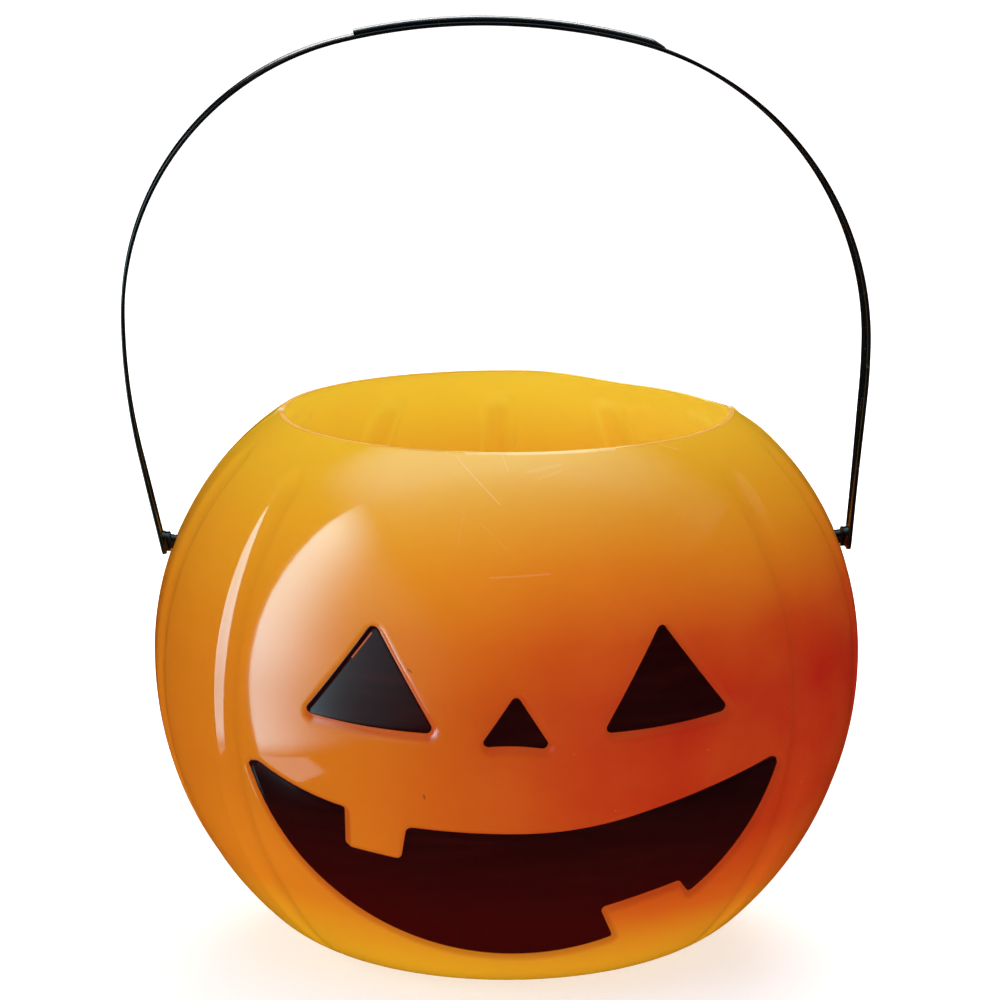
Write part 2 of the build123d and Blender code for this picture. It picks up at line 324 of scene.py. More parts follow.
# Painted shade: the right side, away from the lamp at the left, takes more of the shaded colour, less so at
# the upper right and at the back
right_upper = smooth_step(where["X"], 25 * mm, 85 * mm) * smooth_step(height_share, 0.68, 0.86)
behind = smooth_step(where["Y"], -10 * mm, 70 * mm) * 0.6
right_side_shade = smooth_step(where["X"], -78 * mm, 32 * mm) * (1.0 - right_upper * 0.45) * (1.0 - behind)
outer_colour = mix_colour(right_side_shade, lit_side_colour, shaded_side_colour)

# %% Orange plastic: colours of the inside, and the change from one to the other
inside, face_inset, flash, rib = (add_node(tree, "ShaderNodeAttribute", attribute_name=name)["Fac"]
                                  for name in ("inside", "face_inset", "flash", "flute"))
# Painted glow on the inside, palest towards the rim, with painted light along the edges of the inner ribs
# and painted shade on their crests
inner_glow_colour = colour_ramp(height_share, [
    (0.00, (0.88, 0.60, 0.100)), (0.66, (0.86, 0.54, 0.090)), (0.83, (0.85, 0.62, 0.105)),
    (0.92, (0.89, 0.88, 0.200)), (1.00, (0.90, 0.98, 0.290))])
rib_side = smooth_step(rib, 0.02, 0.22) - smooth_step(rib, 0.22, 0.65)
inner_glow_colour = mix_colour(rib_side * 0.30, inner_glow_colour, (0.93, 0.94, 0.30))
inner_glow_colour = mix_colour(smooth_step(rib, 0.5, 1.0) * 0.45, inner_glow_colour, (0.80, 0.45, 0.06))
colour = mix_colour(inside, outer_colour, inner_glow_colour)
# Painted shade: a dark red band on the orange shoulders round each face recess
recess_shade = smooth_step(face_inset, -2.2 * mm, -0.2 * mm) * 0.55
colour = mix_colour(recess_shade, colour, (0.50, 0.035, 0.010))
grain = use_group(mould_grain, {"Vector": place, "Peel Scale": 220.0, "Cloud Scale": 34.0})
colour = mix_colour(smooth_step(grain["Cloud"], 0.35, 0.75) * 0.10, colour, (0.86, 0.34, 0.04))

# %% Marks that the real pail has collected, and a painted highlight along the front of the rim: ends across and up, width in mm and strength
# The last two lines run along the rim's cut edge at the front and paint its highlight; the others are real
# scratches and scuffs
marks_and_rim_glint = [((-15.9, 151.4), (-4.4, 140.8), 0.20, 0.42), ((-3.4, 151.6), (-2.0, 148.4), 0.22, 0.36),
               ((-7.4, 123.8), (8.3, 124.6), 0.32, 0.16), ((3.0, 148.0), (11.9, 149.4), 0.60, 0.14),
               ((6.0, 146.4), (12.6, 148.2), 0.40, 0.14), ((-13.0, 151.9), (27.0, 151.9), 0.45, 0.55),
               ((-2.0, 151.9), (22.0, 151.9), 0.50, 0.85)]
dark_specks = [((-29.1, 100.4), (-28.2, 99.8), 0.35), ((-25.1, 66.6), (-24.9, 65.8), 0.40)]
scratch = use_group(handling_scratches, {"Vector": place, "Scale": 42.0, "Width": 0.006, "Share": 0.36})
marks_and_glint = scratch["Scratches"] * (smooth_step(height, 118 * mm, 146 * mm) * 0.30)
for *line, strength in marks_and_rim_glint:
    marks_and_glint = maths("MAXIMUM", marks_and_glint, mark_from(place, *line) * strength)
# Pale colour for the scratches and scuffs, and for the painted highlight on the rim
colour = mix_colour(marks_and_glint, colour, (0.95, 0.78, 0.55))
speck = add_node(tree, "ShaderNodeTexVoronoi", {"Vector": place, "Scale": 95.0}, feature="F1")["Distance"]
colour = mix_colour(smooth_step(speck, 0.04, 0.02) * 0.14, colour, (0.93, 0.55, 0.16))
colour = mix_colour(flash * 0.9, colour, (0.95, 0.84, 0.72))
for line in dark_specks:
    colour = mix_colour(mark_from(place, *line) * 0.9, colour, (0.06, 0.012, 0.006))

# %% Cut edge of the rim, which glints only at the front and is painted darker as shade elsewhere, and the finished plastic
off_glint = smooth_step(abs(where["X"] - 8 * mm), 12 * mm, 30 * mm)
off_front = maths("MAXIMUM", off_glint, smooth_step(where["Y"], -1 * mm, 1 * mm))
dull_shaded_edge = smooth_step(height, 151.85 * mm, 151.97 * mm) * (1.0 - flash) * off_front
# Painted shade: away from the front the cut edge takes a darker colour, and it is rougher with a weaker
# reflection there
colour = mix_colour(dull_shaded_edge * 0.8, colour, (0.56, 0.21, 0.012))
gloss = grain["Cloud"] * 0.04 + 0.055 + maths("MAXIMUM", inside, dull_shaded_edge) * 0.30 + marks_and_glint * 0.5
plastic = grained_shader(grain, 0.05, 0.2 * mm, {
    "Base Color": colour, "Roughness": gloss, "IOR": 1.51, "Specular IOR Level": 0.82 - dull_shaded_edge * 0.70})
clearness = colour_ramp(height_share, [(0.00, (0.8,) * 3), (0.22, (0.2,) * 3), (0.60, (0.1,) * 3),
                                       (0.85, (0.6,) * 3), (1.00, (0.8,) * 3)])
through = mix_colour(maths("MAXIMUM", clearness, inside * 0.85), colour, (0.96, 0.90, 0.240))
glow = add_node(tree, "ShaderNodeBsdfTranslucent", {"Color": through})[0]
finish_surface(tree, add_node(tree, "ShaderNodeMixShader", {0: 0.42, 1: plastic, 2: glow})[0])
print("orange nodes:", len(tree.nodes))

# %% [markdown]
# ## Black paint and black bail plastic
# The paint in the face is brushed on thinly over red plastic, so it is a maroon black with faint streaks.
# The bail is a moulded black plastic strip that is glossy on its faces and scuffed along its length.

# %% Black face paint
paint, tree = new_material("black_face_paint")
place = object_place(tree)
brushed = add_node(tree, "ShaderNodeMapping", {"Vector": place, "Scale": (40.0, 40.0, 420.0)})[0]
streak = noise(brushed, 1.0, 3.0)["Fac"]
grain = use_group(mould_grain, {"Vector": place, "Peel Scale": 500.0, "Cloud Scale": 55.0})
# Painted light from below: the paint is redder and lighter towards the bottom of the mouth
tone = colour_ramp(split(place)["Z"] / (120 * mm), [
    (0.20, (0.048, 0.0003, 0.0002)), (0.34, (0.031, 0.0002, 0.0002)), (0.54, (0.010, 0.0002, 0.0003)),
    (0.66, (0.016, 0.0002, 0.0003)), (1.00, (0.013, 0.0002, 0.0004))])
tone = mix_colour(smooth_step(streak, 0.45, 0.75) * 0.35, tone, (0.045, 0.0030, 0.0016))
tone = mix_colour(smooth_step(grain["Cloud"], 0.50, 0.85) * 0.30, tone, (0.026, 0.0004, 0.0003))
missed = mark_from(place, (-38.6, 108.6), (-43.7, 102.0), 0.32)
tone = mix_colour(missed * 0.8, tone, (0.62, 0.12, 0.02))
finish_surface(tree, grained_shader(grain, 0.08, 0.1 * mm, {
    "Base Color": tone, "Roughness": grain["Cloud"] * 0.08 + 0.14, "Specular IOR Level": 0.48}))

# %% Black bail plastic
bail_black, tree = new_material("black_bail_plastic")
place = object_place(tree)
grain = use_group(mould_grain, {"Vector": place, "Peel Scale": 380.0, "Cloud Scale": 90.0})
scratch = use_group(handling_scratches, {"Vector": place, "Scale": 160.0, "Width": 0.02, "Share": 0.45})
tone = mix_colour(smooth_step(grain["Cloud"], 0.35, 0.7), (0.0022, 0.0020, 0.0026), (0.0050, 0.0042, 0.0050))
scuffed = scratch["Scratches"] * 0.22
finish_surface(tree, grained_shader(grain, 0.10, 0.1 * mm, {
    "Base Color": mix_colour(scuffed, tone, (0.12, 0.115, 0.12)),
    "Roughness": grain["Cloud"] * 0.10 + 0.10 + scuffed * 0.8}))
print("materials:", [m.name for m in (orange, paint, bail_black)])

# %% [markdown]
# ## The skin of the pumpkin
# Seen from the side, the skin is four arcs that run into each other: heel, lower belly, upper belly and
# shoulder. A place on the skin needs only two numbers, the turn round the axis from the front and the climb
# along the arcs from the standing ring, so the outline is one function of the climb.

# %% Four arcs from the ground to the rim
belly_radius, lower_arc, heel_arc = 100 * mm, 100 * mm, 38 * mm
upper_arc, shoulder_arc, mouth_radius = 86 * mm, 75 * mm, 64 * mm
lower_turn, upper_turn = radians(46.3), radians(36)
wall = 1.6 * mm
belly_height = (lower_arc - heel_arc) * sin(lower_turn) + heel_arc
heel_x = belly_radius - lower_arc + (lower_arc - heel_arc) * cos(lower_turn)
shoulder_x = belly_radius - upper_arc + (upper_arc - shoulder_arc) * cos(upper_turn)
shoulder_z = belly_height + (upper_arc - shoulder_arc) * sin(upper_turn)
rim_turn = math.acos((mouth_radius - shoulder_x) / shoulder_arc)
rim_height = shoulder_z + shoulder_arc * sin(rim_turn)
past_rim = radians(6)
arc_centres = np.array([(heel_x, heel_arc), (belly_radius - lower_arc, belly_height),
                        (belly_radius - upper_arc, belly_height), (shoulder_x, shoulder_z)])
arc_radii = np.array([heel_arc, lower_arc, upper_arc, shoulder_arc])
arc_ends = np.array([-pi / 2, -lower_turn, 0, upper_turn, rim_turn + past_rim])
climb_ends = np.concatenate([[0], np.cumsum(arc_radii * np.diff(arc_ends))])
rim_climb = climb_ends[-1] - past_rim * shoulder_arc


def skin_at(climb, inset=0.0):
    """Give the radius, the height and the outward direction of the skin at a climb, moved in by the inset"""
    climb = np.asarray(climb, float)
    angle = np.interp(climb, climb_ends, arc_ends)
    arc = np.clip(np.searchsorted(climb_ends, climb) - 1, 0, 3)
    reach = arc_radii[arc] - inset
    out_r, out_z = np.cos(angle), np.sin(angle)
    return arc_centres[arc, 0] + reach * out_r, arc_centres[arc, 1] + reach * out_z, out_r, out_z


print("rim height in mm:", round(rim_height / mm, 2), "climb to the rim:", round(rim_climb / mm, 1))


# %% [markdown]
# ## The face
# Eyes, nose and mouth are closed outlines seen from the front. Each is drawn as sides that meet in corners,
# and each corner is rounded as a mould maker's cutter would leave it.

# %% Sides, arcs and rounded corners
def arc_side(start, end, heading, count=24):
    """Give points on the arc that leaves the start with a heading and reaches the end"""
    start, chord = np.array(start, float), np.subtract(end, start)
    half = atan2(chord[1], chord[0]) - heading
    half = (half + pi) % (2 * pi) - pi
    length = np.hypot(*chord) * (half / sin(half) if abs(half) > 1e-9 else 1)
    share = np.linspace(0, 1, count)[:, None]
    bend = half * share
    step = length * share * np.sinc(bend / pi)
    return start + step * np.hstack([np.cos(heading + bend), np.sin(heading + bend)])


def run_of(side):
    """Give the distance of each point from the start of a side"""
    return np.concatenate([[0], np.cumsum(np.hypot(*np.diff(side, axis=0).T))])


def even_points(side, spacing):
    """Place points evenly along a side"""
    run = run_of(side)
    marks = np.linspace(0, run[-1], max(2, int(round(run[-1] / spacing)) + 1))
    return np.column_stack([np.interp(marks, run, side[:, i]) for i in (0, 1)])


def trimmed(side, first, last):
    """Cut a length off each end of a side"""
    run = run_of(side)
    keep = (run > first) & (run < run[-1] - last)
    ends = [[np.interp(mark, run, side[:, i]) for i in (0, 1)] for mark in (first, run[-1] - last)]
    return np.vstack([ends[0], side[keep], ends[1]])


def rounded_outline(sides, radii, spacing=0.7):
    """Join sides into a closed outline and round its corners, with one radius or one for each"""
    radii = list(np.broadcast_to(radii, len(sides)))
    arcs, cuts = [], []
    for side, following, radius in zip(sides, sides[1:] + sides[:1], radii):
        corner, reach = side[-1], 2.0
        back = trimmed(side, 0, reach)[-1] - corner
        ahead = trimmed(following, reach, 0)[0] - corner
        back, ahead = back / np.hypot(*back), ahead / np.hypot(*ahead)
        half = math.acos(np.clip(back @ ahead, -1, 1)) / 2
        cut = radius / math.tan(half)
        bisector = (back + ahead) / np.hypot(*(back + ahead))
        centre = corner + bisector * radius / sin(half)
        first, last = corner + back * cut - centre, corner + ahead * cut - centre
        shares = np.linspace(0, 1, 7)[1:-1, None]
        spokes = first * (1 - shares) + last * shares
        arcs.append(centre + radius * spokes / np.hypot(spokes[:, :1], spokes[:, 1:]))
        cuts.append(cut)
    pieces = []
    for place, side in enumerate(sides):
        pieces += [even_points(trimmed(side, cuts[place - 1], cuts[place]), spacing), arcs[place]]
    return np.vstack(pieces)


def straight(*corners):
    return [np.array(pair, float) for pair in zip(corners[:-1], corners[1:])]


def bowed_base(start, end, bow):
    """Give the base of a triangle, which bows downwards, or upwards for a negative bow"""
    run = np.subtract(end, start)
    return arc_side(start, end, atan2(run[1], run[0]) - 2 * math.atan(2 * bow / np.hypot(*run)))


# %% Outlines of the eyes and the nose, in mm from the axis and from the belly's widest level
eye_outer, eye_apex, eye_inner, eye_bow = (56.6, 2.9), (37.6, 28.5), (21.7, 0.5), 0.6
nose_left, nose_right, nose_apex, nose_arch = (-10.9, -2.7), (8.9, -3.4), (-0.9, 11.9), 0.9
eye_base = bowed_base(eye_inner, eye_outer, eye_bow)
right_eye = rounded_outline(straight(eye_outer, eye_apex, eye_inner) + [eye_base], 1.5)
left_eye = right_eye[::-1] * (-1, 1) + (-0.2, 0.3)
nose_base = bowed_base(nose_left, nose_right, -nose_arch)
nose = rounded_outline(straight(nose_right, nose_apex, nose_left) + [nose_base], 1.3)

# %% Outline of the mouth, with one tooth from above and one from below
bottom_centre, bottom_radius = np.array((-0.05, 6.85)), 74.5
lip_middle, lip_bend = (0.0, -26.8), np.array((30.0, -23.2))


def bottom_lip(x):
    return bottom_centre[1] - np.sqrt(bottom_radius ** 2 - (x - bottom_centre[0]) ** 2)


def run_along_bottom(first, last, count=60):
    x = np.linspace(first, last, count)
    return np.column_stack([x, bottom_lip(x)])


def mouth_corner(side, y):
    """Find the corner of the mouth at a level, on the circle of the bottom lip"""
    return (bottom_centre[0] + side * sqrt(bottom_radius ** 2 - (y - bottom_centre[1]) ** 2), y)


def meet_bottom(corner, lean):
    """Find where a tooth's leaning side meets the bottom lip"""
    x = corner[0]
    for _ in range(30):
        x = corner[0] + (corner[1] - bottom_lip(x)) * math.tan(radians(lean))
    return (x, float(bottom_lip(x)))


left_corner, right_corner = mouth_corner(-1, -11.2), mouth_corner(1, -12.0)
upper_tooth = [(-46.0, -21.8), (-45.8, -33.6), (-30.9, -35.8), (-29.5, -25.8)]
lower_in, lower_out = (22.3, -52.0), (44.0, -46.2)
foot_in, foot_out = meet_bottom(lower_in, 20.0), meet_bottom(lower_out, 30.0)
bend_turn = 2 * atan2(lip_bend[1] - lip_middle[1], lip_bend[0])
mouth_sides = [arc_side(left_corner, upper_tooth[0], radians(-33))]
mouth_sides += straight(*upper_tooth)
mouth_sides += [np.vstack([
    arc_side(lip_middle, upper_tooth[-1], pi)[::-1], arc_side(lip_middle, lip_bend, 0.0)[1:],
    arc_side(lip_bend, right_corner, bend_turn)[1:]])]
mouth_sides += [run_along_bottom(right_corner[0], foot_out[0])]
mouth_sides += straight(foot_out, lower_out, lower_in, foot_in)
mouth_sides += [run_along_bottom(foot_in[0], left_corner[0])]
mouth = rounded_outline(mouth_sides, [1.5, 1.8, 1.8, 1.5, 2.6, 1.0, 1.2, 1.5, 1.0, 1.5])
face_outlines = {"left_eye": left_eye, "right_eye": right_eye, "nose": nose, "mouth": mouth}
print("outline points:", {name: len(points) for name, points in face_outlines.items()})

# %% [markdown]
# ## From the front view to the skin
# The paint lies on the floor of the recess, so each outline point is carried onto the floor, and written as
# turn and climb. On the unrolled skin, a signed distance to the outlines says how far inside a recess a
# point lies.

# %% Unroll the outlines and measure distances to them
recess_depth, shoulder_width = 1.2 * mm, 2.3 * mm
table_climb = np.linspace(0, rim_climb, 3000)
floor_radius, floor_height, _, _ = skin_at(table_climb, recess_depth)


def unrolled(outline):
    """Carry front-view points in mm to the unrolled skin, as turn times the belly's radius and climb"""
    x, z = outline[:, 0] * mm, outline[:, 1] * mm + belly_height
    climb = np.interp(z, floor_height, table_climb)
    turn = np.arcsin(x / np.interp(climb, table_climb, floor_radius))
    return np.column_stack([turn * belly_radius, climb])


def inset_from(points, outline):
    """Give each point's distance to a closed outline, positive inside"""
    ends = np.roll(outline, -1, axis=0)
    best = np.full(len(points), np.inf)
    crossings = np.zeros(len(points), int)
    for start, end, step in zip(outline, ends, ends - outline):
        share = np.clip(((points - start) @ step) / (step @ step), 0, 1)
        gap = points - start - share[:, None] * step
        best = np.minimum(best, np.einsum("ij,ij->i", gap, gap))
        rises = (start[1] > points[:, 1]) != (end[1] > points[:, 1])
        with np.errstate(divide="ignore", invalid="ignore"):
            reach = start[0] + (points[:, 1] - start[1]) / step[1] * step[0]
        crossings += rises & (points[:, 0] < reach)
    return np.where(crossings % 2 == 1, 1, -1) * np.sqrt(best)


def moved_inwards(outline, gap):
    """Move each point of an outline inwards by a gap"""
    ahead, run = np.roll(outline, -1, axis=0), np.roll(outline, -1, axis=0) - np.roll(outline, 1, axis=0)
    side = np.column_stack([run[:, 1], -run[:, 0]]) / np.hypot(*run.T)[:, None]
    turned = np.sign(np.sum(outline[:, 0] * ahead[:, 1] - ahead[:, 0] * outline[:, 1]))
    return outline - side * turned * gap


paint_outlines = {name: unrolled(points) for name, points in face_outlines.items()}
mask_slip = np.array((0.7 * mm, -0.7 * mm))
recess_outlines = {name: points + mask_slip for name, points in paint_outlines.items()}


def recess_inset(points):
    """Give how far inside any recess each point of the unrolled skin lies"""
    return np.max([inset_from(points, outline) for outline in recess_outlines.values()], axis=0)


# %% [markdown]
# ## Base mesh of the shell
# The shell is a lathe shape with an inside, a rim and an outside, so its mesh is a grid of turns and rows.
# In front, a window of that grid is filled with a triangulation that follows the face outlines, because a
# plain grid would leave the edges of the eyes and the mouth jagged.

# %% Rows of the shell, from the middle of the base over the rim to the middle of the floor
ring_inner, push_up_rise = heel_x - 7 * mm, 1.8 * mm
dome_radius = ring_inner - 3 * mm
rim_ease, lip_thinning, lip_reach = 0.35 * mm, 0.75 * mm, 9 * mm
lip = wall - lip_thinning
row_data = []


def add_row(radius, height, out_r, out_z, climb, inside):
    row_data.append([float(value) for value in (radius, height, out_r, out_z, climb, inside)])


def add_eased_corner(start, corner, end, inside):
    """Round a corner of the rim with a few rows"""
    start, corner, end = np.array(start), np.array(corner), np.array(end)
    for share in np.linspace(0, 1, 5):
        point = (1 - share) ** 2 * start + 2 * share * (1 - share) * corner + share ** 2 * end
        add_row(*point, cos(rim_turn), sin(rim_turn), rim_climb, inside)


base_rows = [(6 * mm, push_up_rise), (18 * mm, push_up_rise), (dome_radius - 1 * mm, push_up_rise),
             (dome_radius + 0.4 * mm, push_up_rise - 0.2 * mm), (ring_inner - 0.4 * mm, 0.2 * mm),
             (ring_inner + 0.8 * mm, 0), (heel_x - 3 * mm, 0), (heel_x - 0.5 * mm, 0)]
for radius, height in base_rows:
    add_row(radius, height, 0, -1, -1, 0)
first_skin_row = len(row_data)
skin_climbs = np.linspace(1.2 * mm, rim_climb - rim_ease, 100)
for climb in skin_climbs:
    add_row(*skin_at(climb), climb, 0)
inner_rim_turn = asin((rim_height - shoulder_z) / (shoulder_arc - wall + lip_thinning))
inner_rim_climb = rim_climb + (inner_rim_turn - rim_turn) * shoulder_arc
inner_rim_radius = float(skin_at(inner_rim_climb, lip)[0])
add_eased_corner(skin_at(rim_climb - 0.5 * rim_ease)[:2], (mouth_radius, rim_height),
                 (mouth_radius - rim_ease, rim_height), 0)
add_eased_corner((inner_rim_radius + rim_ease, rim_height), (inner_rim_radius, rim_height),
                 skin_at(inner_rim_climb - 0.5 * rim_ease, lip)[:2], 0.3)
for climb in np.linspace(inner_rim_climb - 2 * rim_ease, 1.2 * mm, 70):
    lip_share = max(0.0, 1 - (inner_rim_climb - climb) / lip_reach) ** 2
    add_row(*skin_at(climb, wall - lip_thinning * lip_share), climb, 1)
for radius, height in base_rows[::-1]:
    add_row(radius, height + wall, 0, -1, -1, 1)
rows = np.array(row_data)
print("rows:", len(rows))

# %% Columns, with finer ones along the parting line at each side
column_step, window_turn = 0.9, 54.0
side_steps = np.array((-0.6, -0.4, -0.25, -0.12, 0.12, 0.25, 0.4, 0.6))
columns = np.concatenate([np.arange(-180, 180, column_step), side_steps - 90, side_steps + 90])
columns = np.unique(np.round(columns, 3))
window_columns = np.flatnonzero(np.abs(columns) <= window_turn + 1e-6)
window_rows = first_skin_row + np.flatnonzero((skin_climbs > 20 * mm) & (skin_climbs < 145 * mm))
first_row, last_row = window_rows[0], window_rows[-1]
first_column, last_column = window_columns[0], window_columns[-1]


def skin_vertices(turn, radius, height):
    return np.column_stack([radius * np.sin(turn), -radius * np.cos(turn), height])


grid_turn = np.tile(np.radians(columns), len(rows))
grid = np.repeat(rows, len(columns), axis=0)
vertices = skin_vertices(grid_turn, grid[:, 0], grid[:, 1])
centres = np.array([(0, 0, push_up_rise), (0, 0, push_up_rise + wall)])
print("grid:", len(rows), "rows by", len(columns), "columns")


# %% Triangulate the window in front so that it follows the outlines
def loop_edges(start, count):
    """Give the edges of a closed loop of points"""
    return [(start + i, start + (i + 1) % count) for i in range(count)]


def triangulated(points, edges, mode):
    """Triangulate points in metres, and give the points, the triangles and where each point came from"""
    found = delaunay_2d_cdt([Vector(p) for p in points * (1 / mm)], edges, [], mode, 1e-5)
    return np.array([tuple(p) for p in found[0]]) / (1 / mm), [tuple(face) for face in found[2]], found[3]


border = [(first_row, c) for c in window_columns] + [(r, last_column) for r in window_rows[1:]]
border += [(last_row, c) for c in window_columns[-2::-1]] + [(r, first_column) for r in window_rows[-2:0:-1]]
corners = [row * len(columns) + column for row, column in border]
edge_points = np.column_stack([grid_turn[corners] * belly_radius, grid[corners, 4]])
low, high = edge_points.min(0), edge_points.max(0)
fill_step = 1.7 * mm
fill_u, fill_v = (np.arange(low[i] + fill_step, high[i] - 0.6 * fill_step, fill_step) for i in (0, 1))
fill = np.column_stack([axis.ravel() for axis in np.meshgrid(fill_u, fill_v)])
fill[::2, 1] += 0.13 * fill_step
fill_inset = recess_inset(fill)
near_wall = (fill_inset > -shoulder_width - 0.5 * fill_step) & (fill_inset < 0.8 * mm)
rings = []
for outline in recess_outlines.values():
    for gap in np.append(np.linspace(-1.15, -0.1, 9) * shoulder_width, 0.3 * mm):
        ring = moved_inwards(outline, gap)
        rings.append(ring[np.abs(recess_inset(ring) - gap) < 0.06 * mm])
loops = [edge_points] + list(recess_outlines.values())
starts = np.cumsum([0] + [len(loop) for loop in loops])
window_edges = [edge for start, loop in zip(starts, loops) for edge in loop_edges(int(start), len(loop))]
window_points = np.vstack(loops + [fill[~near_wall]] + rings)
window_uv, window_faces, window_source = triangulated(window_points, window_edges, 0)
print("window:", len(window_uv), "points,", len(window_faces), "triangles")

# %% Join grid and window into one mesh with the attributes that the next tree reads
window_turns, window_climbs = window_uv[:, 0] / belly_radius, window_uv[:, 1]
vertex_of = np.zeros(len(window_uv), int)
new_points = []
for place, sources in enumerate(window_source):
    on_edge = [s for s in sources if s < len(corners)]
    if on_edge:
        vertex_of[place] = corners[on_edge[0]]
    else:
        vertex_of[place] = len(vertices) + len(centres) + len(new_points)
        new_points.append(place)
radius, height, out_r, out_z = skin_at(window_climbs[new_points])
all_vertices = np.vstack([vertices, centres, skin_vertices(window_turns[new_points], radius, height)])
all_turn = np.concatenate([grid_turn, [0, 0], window_turns[new_points]])
all_climb = np.concatenate([grid[:, 4], [-1, -1], window_climbs[new_points]])
all_inside = np.concatenate([grid[:, 5], [0, 1], np.zeros(len(new_points))])
out_radial = np.concatenate([grid[:, 2], [0, 0], out_r])
out_upward = np.concatenate([grid[:, 3], [-1, -1], out_z])
all_out = np.column_stack([out_radial * np.sin(all_turn), -out_radial * np.cos(all_turn), out_upward])
all_inset = np.full(len(all_vertices), -1.0)
in_front = (np.abs(all_turn) < radians(window_turn)) & (all_climb > low[1]) & (all_climb < high[1])
all_inset[in_front] = recess_inset(np.column_stack([all_turn[in_front] * belly_radius, all_climb[in_front]]))
count = len(columns)
faces = []
for row in range(len(rows) - 1):
    for column in range(count):
        if first_row <= row < last_row and first_column <= column < last_column:
            continue
        following = (column + 1) % count
        faces.append((row * count + column, row * count + following,
                      (row + 1) * count + following, (row + 1) * count + column))
under, floor, last = len(vertices), len(vertices) + 1, (len(rows) - 1) * count
for column in range(count):
    following = (column + 1) % count
    faces += [(under, following, column), (last + column, last + following, floor)]
faces += [tuple(int(vertex_of[i]) for i in face) for face in window_faces]
blank = bpy.data.meshes.new("pail_blank")
blank.from_pydata(all_vertices.tolist(), [], faces)


def add_attribute(mesh, name, values, kind="FLOAT", key="value"):
    layer = mesh.attributes.new(name, kind, "POINT")
    layer.data.foreach_set(key, np.asarray(values, np.float32).ravel())


point_values = {"turn": all_turn, "climb": all_climb, "inside": all_inside, "face_inset": all_inset}
for name, values in point_values.items():
    add_attribute(blank, name, values)
add_attribute(blank, "skin_out", all_out, "FLOAT_VECTOR", "vector")
pail_blank = add_object("pail_blank", blank)
print("blank:", len(blank.vertices), "vertices,", len(blank.polygons), "faces")


# %% [markdown]
# ## Press flutes and face into the blank
# On the real pail the mould does this in one stroke. Here a geometry tree moves each point along the skin's
# own direction: eleven flutes repeat round the axis, the face goes in by the signed distance, a fine ridge
# marks where the mould halves met, and the rim is trimmed a little lower at the back right. Sizes are named
# inputs.

# %% Helpers for geometry trees
def stored(tree, name, kind="FLOAT"):
    """Read an attribute of the mesh"""
    return add_node(tree, "GeometryNodeInputNamedAttribute", {"Name": name}, data_type=kind)["Attribute"]


def store(shape, name, value):
    """Store a value on each point of a shape"""
    return add_node(shape.tree, "GeometryNodeStoreNamedAttribute", {
        "Geometry": shape, "Name": name, "Value": value}, data_type="FLOAT", domain="POINT")[0]


def position(tree):
    return split(add_node(tree, "GeometryNodeInputPosition")[0])


def offset(shape, shift):
    return add_node(shape.tree, "GeometryNodeSetPosition", {"Geometry": shape, "Offset": shift})[0]


def finish_shape(shape, material):
    """End a geometry tree with real geometry and its material"""
    whole = add_node(shape.tree, "GeometryNodeRealizeInstances", {"Geometry": shape})[0]
    dressed = add_node(shape.tree, "GeometryNodeSetMaterial", {"Geometry": whole, "Material": material})[0]
    give_results(shape.tree, {"Geometry": dressed}, "Geometry")


# %% Geometry tree that shapes the shell: inputs and flutes
press = bpy.data.node_groups.new("press_flutes_and_face", "GeometryNodeTree")
size = named_inputs(press, {
    "Geometry": "Geometry", "Flute Pitch": 2 * pi / 14, "First Flute": 2.0, "Flute Depth": 1.2 * mm,
    "Flute Tool Radius": 13 * mm, "Flute Foot": 14 * mm, "Foot Fade": 42 * mm, "Inner Rib Gain": 0.7,
    "Flute Top": 181 * mm, "Flute Fade": 9 * mm, "Recess Depth": recess_depth,
    "Shoulder Width": shoulder_width, "Seam Height": 0.16 * mm, "Seam Half Width": 0.55 * mm,
    "Rim Climb": rim_climb, "Rim Sag": 2.1 * mm, "Flash Height": 1.2 * mm, "Material": "Material"})
turn, climb, within, inset = (stored(press, name) for name in ("turn", "climb", "inside", "face_inset"))
spot = position(press)
around = abs(turn)
axis_gap = maths("SQRT", spot["X"] * spot["X"] + spot["Y"] * spot["Y"])
place_number = maths("ROUND", around / size["Flute Pitch"])
is_flute = maths("GREATER_THAN", place_number, size["First Flute"] - 0.5)
off_centre = abs(around - place_number * size["Flute Pitch"]) * axis_gap
foot_fade = smooth_step(climb, size["Flute Foot"], size["Flute Foot"] + size["Foot Fade"])
top_fade = smooth_step(climb, size["Flute Top"], size["Flute Top"] - size["Flute Fade"])
depth = is_flute * size["Flute Depth"] * (foot_fade * top_fade)
tool = size["Flute Tool Radius"]
chord = maths("MAXIMUM", tool * tool - off_centre * off_centre, 0.0)
bite = maths("SMOOTH_MAX", maths("SQRT", chord) - tool + depth, 0.0, 0.16 * mm) * is_flute
flute = bite * (within * size["Inner Rib Gain"] + 1.0)

